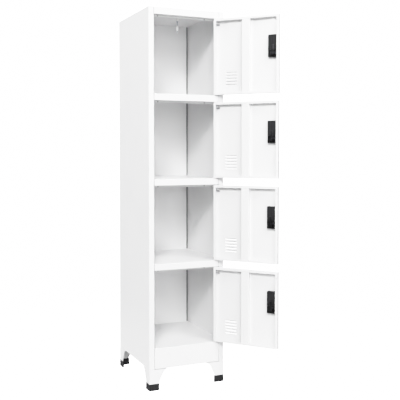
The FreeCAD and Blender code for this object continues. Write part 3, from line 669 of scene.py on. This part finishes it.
def cap_form():
    """A foot cap for the corner at the origin, its arms along +X and +Y, slotted for the leg."""
    arm, thick, tall = 50.0, 7.0, 32.0
    corner_radius = 1.6
    slot_near, slot_far = 0.95, 1.88
    slot_end, slot_floor = 47.1, 2.5
    brace = [(thick - 1, thick - 1), (thick + 5, thick - 1), (thick - 1, thick + 5)]
    tools = [
        (upright(rounded_outline((0, 0), (thick, arm), corner_radius), 0, tall), "UNION"),
        (upright(brace, 0, tall - 6), "UNION"),
        (box_form((slot_near, slot_near, slot_floor), (slot_end, slot_far, tall + 1)), "DIFFERENCE"),
        (box_form((slot_near, slot_near, slot_floor), (slot_far, slot_end, tall + 1)), "DIFFERENCE"),
    ]
    for number in (1, 2, 3):
        place = number * arm / 4
        for low, high in (((place - 1, -0.5, 3.5), (place + 1, 0.5, tall - 3.5)),
                          ((-0.5, place - 1, 3.5), (0.5, place + 1, tall - 3.5))):
            tools.append((box_form(low, high), "DIFFERENCE"))
    first_arm = upright(rounded_outline((0, 0), (arm, thick), corner_radius), 0, tall)
    return soften(shaped(first_arm, tools), 0.3, 2, 40.0)


def hook_mount_form():
    """The coat hook's plate and stepped boss, about the hook's own upright axis."""
    ceiling = hook_top / MM
    turn = Matrix.Rotation(HOOK_TURN, 2)
    outline = [turn @ Vector(point) for point in rounded_outline((-12, -22), (12, 22), 8.0)]
    plate = soften(upright(outline, ceiling - HOOK_PLATE, ceiling), 0.5, 2, 40.0)
    boss = turned([(0, ceiling), (8.0, ceiling), (8.0, ceiling - 2.7), (7.2, ceiling - 3.6),
                   (6.9, ceiling - 31), (6.4, ceiling - 36), (5.6, ceiling - 37.2), (0, ceiling - 37.2)])
    return joined([plate, boss])


def hook_wire_form():
    """The coat hook's bent wire, with the collar that it is crimped into."""
    bend = HOOK_BEND_LEVEL
    wire = [(0, 0, bend + 45), (0, 0, bend + 17), (0, 0, bend)]
    centre = (0, -HOOK_BEND, bend)
    wire += arc(centre, (0, HOOK_BEND, 0), (0, 0, -HOOK_BEND))[1:]
    wire += arc(centre, (0, 0, -HOOK_BEND), (0, -HOOK_BEND, 0))[1:]
    wire.append((0, -2 * HOOK_BEND, bend + 7))
    collar = turned([(3.05, bend + 44.2), (4.6, bend + 44.2), (4.6, bend + 40), (4.0, bend + 39.2),
                     (3.05, bend + 39.2)], Matrix(), 32, True)
    return joined([swept(wire, HOOK_WIRE), collar])


def hook_tip_form():
    """The fat rounded cap on the wire's end."""
    steps = 20
    middle_level = HOOK_BEND_LEVEL + 6
    tip = []
    for step in range(steps + 1):
        angle = -math.pi / 2 + math.pi * step / steps
        fat = HOOK_TIP * math.cos(angle) * (1 + 0.08 * math.sin(angle))
        tip.append((fat if 0 < step < steps else 0, middle_level + HOOK_TIP_HALF * math.sin(angle)))
    return turned(tip, Matrix.Translation((0, -2 * HOOK_BEND, 0)))


def joint_strip_form():
    """A thin strip behind the open joints between the front left leg, its post and the apron."""
    outline = [(-169.2, 95.5), (-112, 95.5), (-104.5, 97), (-104.5, 106.5), (-106, 108), (-158, 108),
               (-158, 193), (-160, 195), (-166.3, 195), (-166.3, 100.7), (-169.2, 100.7)]
    return soften(slab(outline, 7.0, 7.8), 0.25, 2, 40.0)


def rivet_form():
    """One rivet with a domed head, hanging down from the origin."""
    shank = 1.95
    profile = [(0, 2.3), (shank, 2.3), (shank, 0), (RIVET_HEAD, 0), (RIVET_HEAD, -0.3)]
    return turned(profile + dome(RIVET_HEAD, -0.3, -1.3))


def washer_form():
    """A nylon washer with eased edges, standing on the origin."""
    return turned([(2.6, 0.2), (2.9, 0), (4.0, 0), (4.2, 0.25), (4.2, 1.3), (3.9, 1.6), (2.9, 1.6),
                   (2.6, 1.4)], Matrix(), 36, True)


def buffer_form():
    """A rubber buffer with a domed face and a foot, pointing along -Y from the origin."""
    nose = 3.2
    profile = [(0, 0), (4.0, 0), (4.0, 0.7), (3.3, 1.0), (nose, 2.4)] + dome(nose, 2.4, 1.2)
    return turned(profile, Matrix.Rotation(math.pi / 2, 4, "X"), 32)


def shells(maker, places):
    """One shape repeated at several places in one form."""
    forms = []
    for place in places:
        form = maker()
        form.transform(place)
        forms.append(form)
    return joined(forms)


door_numbers = range(1, 5)
for number in door_numbers:
    place = door_place(number)
    name = "door_" + str(number)
    lock = "lock_" + str(number)
    for maker, part, body, title in (
            (handle_form, "_handle", name, "_handle_moulding"),
            (barrel_form, "_lock_barrel", name, "_threaded_barrel"),
            (nut_form, "_lock_nut", name, "_hexagon_nut"),
            (pins_form, "_hinge_pins", name, "_bent_pins"),
            (card_frame_form, "_card_frame", name, "_card_holder"),
            (plug_form, "_lock_plug", lock, "_keyed_plug"),
            (cam_form, "_lock_cam", lock, "_latch_plate")):
        piece(maker(), name + title, body, name + part, place)

for corner in ("front_left", "front_right", "rear_left", "rear_right"):
    node = "foot_cap_" + corner
    low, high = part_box(node)
    right = corner.endswith("right")
    rear = corner.startswith("rear")
    origin = Vector((high.x if right else low.x, high.y if rear else low.y, 0))
    flip = Matrix.Diagonal((-1 if right else 1, -1 if rear else 1, 1, 1))
    piece(cap_form(), node + "_shoe", "carcass", node, Matrix.Translation(origin) @ flip)

for title, flip in (("left", 1), ("right", -1)):
    piece(joint_strip_form(), "joint_strip_" + title, "carcass", None,
          Matrix.Translation((0, FRONT, 0)) @ Matrix.Diagonal((flip, 1, 1, 1)), "white_powder_coat")

hook_y = (rivet_low.y + rivet_high.y) / 2
hook_place = Matrix.Translation((0, hook_y, 0)) @ Matrix.Rotation(-HOOK_TURN, 4, "Z")
piece(hook_mount_form(), "coat_hook_mount", "carcass", "coat_hook", hook_place)
piece(hook_wire_form(), "coat_hook_wire", "carcass", "coat_hook", hook_place, slot="zinc_plate")
piece(hook_tip_form(), "coat_hook_tip", "carcass", "coat_hook", hook_place)
rivet_level = hook_top / MM - HOOK_PLATE
rivet_places = [Matrix.Translation((0, y, rivet_level))
                for y in (rivet_low.y / MM + RIVET_HEAD, rivet_high.y / MM - RIVET_HEAD)]
piece(shells(rivet_form, rivet_places), "hook_rivet_heads", "carcass", "hook_rivets")

BUFFER_X = (-140, 100)
BUFFER_Y = FRONT_MM + 24
BUFFER_DROP = 4.5       # below the top of the opening
openings = [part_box("door_" + str(number) + "_panel")[0].z / MM - DOOR_GAP for number in door_numbers]
opening_height = openings[0] - openings[1] - RAIL
washer_places = [Matrix.Translation((PIN_X, FRONT_MM + PIN_Y, low)) for low in openings]
piece(shells(washer_form, washer_places), "hinge_washer_set", "carcass", "hinge_washers")
buffer_places = [Matrix.Translation((x, BUFFER_Y, low + opening_height - BUFFER_DROP))
                 for low in openings for x in BUFFER_X]
piece(shells(buffer_form, buffer_places), "door_buffer_set", "carcass", "door_buffers")


# Stage, lights and camera

FLOOR_RADIUS = 2.6
FLOOR_COLOUR = (0.9, 0.9, 0.9)
FLOOR_BOUNCE = (0.3, 0.3, 0.3)          # its colour for light that isn't on its way to the camera
FLOOR_REACH = 0.5                       # radius where it starts to fade
FLOOR_FADE = 1.6                        # width of the fade
FLOOR_VEIL = 0.75                       # share of white over it in the camera's eye


def studio_floor():
    """A pale round floor that fades into the white around it."""
    mesh = bpy.data.meshes.new("floor")
    form = bmesh.new()
    bmesh.ops.create_circle(form, cap_ends=True, segments=96, radius=FLOOR_RADIUS)
    form.to_mesh(mesh)
    form.free()
    mesh.materials.append(floor_material("pale_board", FLOOR_COLOUR, FLOOR_BOUNCE,
                                         FLOOR_REACH, FLOOR_FADE, FLOOR_VEIL))
    floor = bpy.data.objects.new("floor", mesh)
    scene.collection.objects.link(floor)


def area_light(name, place, target, size, power):
    """A square soft box that looks from its place towards a target."""
    data = bpy.data.lights.new(name, "AREA")
    data.shape = "SQUARE"
    data.size = size
    data.energy = power
    light = bpy.data.objects.new(name, data)
    light.location = place
    light.rotation_euler = (Vector(target) - Vector(place)).to_track_quat("-Z", "Y").to_euler()
    scene.collection.objects.link(light)


CAMERA_YAW = math.radians(23.97)
CAMERA_PITCH = math.radians(1.96)
camera_data = bpy.data.cameras.new("camera")
camera_data.sensor_width = 36.0
camera_data.lens = 63.69
camera_data.shift_y = -0.06
camera = bpy.data.objects.new("camera", camera_data)
camera.location = (-1.312, -3.329, 1.126)
camera.rotation_euler = (math.pi / 2 - CAMERA_PITCH, 0, -CAMERA_YAW)
scene.collection.objects.link(camera)
scene.camera = camera

studio_floor()
middle = (0.0, 0.0, 0.9)
area_light("front_key", (-1.6, -5.3, 3.4), middle, 1.1, 100.0)
area_light("front_box", (-0.8, -5.6, 1.2), middle, 2.6, 139.0)
area_light("left_rear", (-4.6, 1.6, 2.4), middle, 1.6, 285.0)
area_light("mid_high", (-2.6, -4.6, 4.4), middle, 1.2, 415.0)
area_light("right_high", (1.2, -3.6, 5.0), middle, 2.0, 285.0)
area_light("right_rear", (3.6, 2.6, 2.4), middle, 2.0, 150.0)
area_light("floor_box", (1.6, 2.6, 5.0), (0.9, 1.9, 0.0), 4.0, 300.0)

SKY_ABOVE = 0.1         # strength of the surround's light above and below the horizon
SKY_BELOW = 0.02
HORIZON = (-0.1, 0.15)  # where it changes from one to the other
PAPER = 5.0             # strength of the white that only the camera sees
world = bpy.data.worlds.new("studio")
world.use_nodes = True
tree = world.node_tree
sky = tree.nodes["Background"]
sky.inputs["Color"].default_value = (1, 1, 1, 1)
where = tree.nodes.new("ShaderNodeTexCoord")
parts = tree.nodes.new("ShaderNodeSeparateXYZ")
height = tree.nodes.new("ShaderNodeMapRange")
height.inputs["From Min"].default_value = HORIZON[0]
height.inputs["From Max"].default_value = HORIZON[1]
height.inputs["To Min"].default_value = SKY_BELOW
height.inputs["To Max"].default_value = SKY_ABOVE
tree.links.new(where.outputs["Generated"], parts.inputs["Vector"])
tree.links.new(parts.outputs["Z"], height.inputs["Value"])
tree.links.new(height.outputs["Result"], sky.inputs["Strength"])
paper = tree.nodes.new("ShaderNodeBackground")
paper.inputs["Strength"].default_value = PAPER
paper.inputs["Color"].default_value = (1, 1, 1, 1)
seen = tree.nodes.new("ShaderNodeLightPath")
choice = tree.nodes.new("ShaderNodeMixShader")
tree.links.new(seen.outputs["Is Camera Ray"], choice.inputs["Fac"])
tree.links.new(sky.outputs["Background"], choice.inputs[1])
tree.links.new(paper.outputs["Background"], choice.inputs[2])
tree.links.new(choice.outputs["Shader"], tree.nodes["World Output"].inputs["Surface"])
scene.world = world


def highlight_shoulder(start, white):
    """Colour management that keeps tones up to a start and eases brighter ones up to white."""
    view = scene.view_settings
    view.view_transform = "Standard"
    view.use_curve_mapping = True
    mapping = view.curve_mapping
    mapping.white_level = (white, white, white)
    curve = mapping.curves[3]
    power = (white - start) / (1 - start)
    points = [(0.0, 0.0), (start / 2 / white, start / 2), (start / white, start)]
    for part in (0.06, 0.12, 0.19, 0.27, 0.37, 0.5, 0.7, 1.0):
        bright = start + part * (white - start)
        points.append((bright / white, start + (1 - start) * (1 - (1 - part) ** power)))
    curve.points[0].location = points[0]
    curve.points[1].location = points[-1]
    for point in points[1:-1]:
        curve.points.new(*point)
    mapping.update()


SHOULDER_START = 0.3
SHOULDER_WHITE = 4.5
highlight_shoulder(SHOULDER_START, SHOULDER_WHITE)
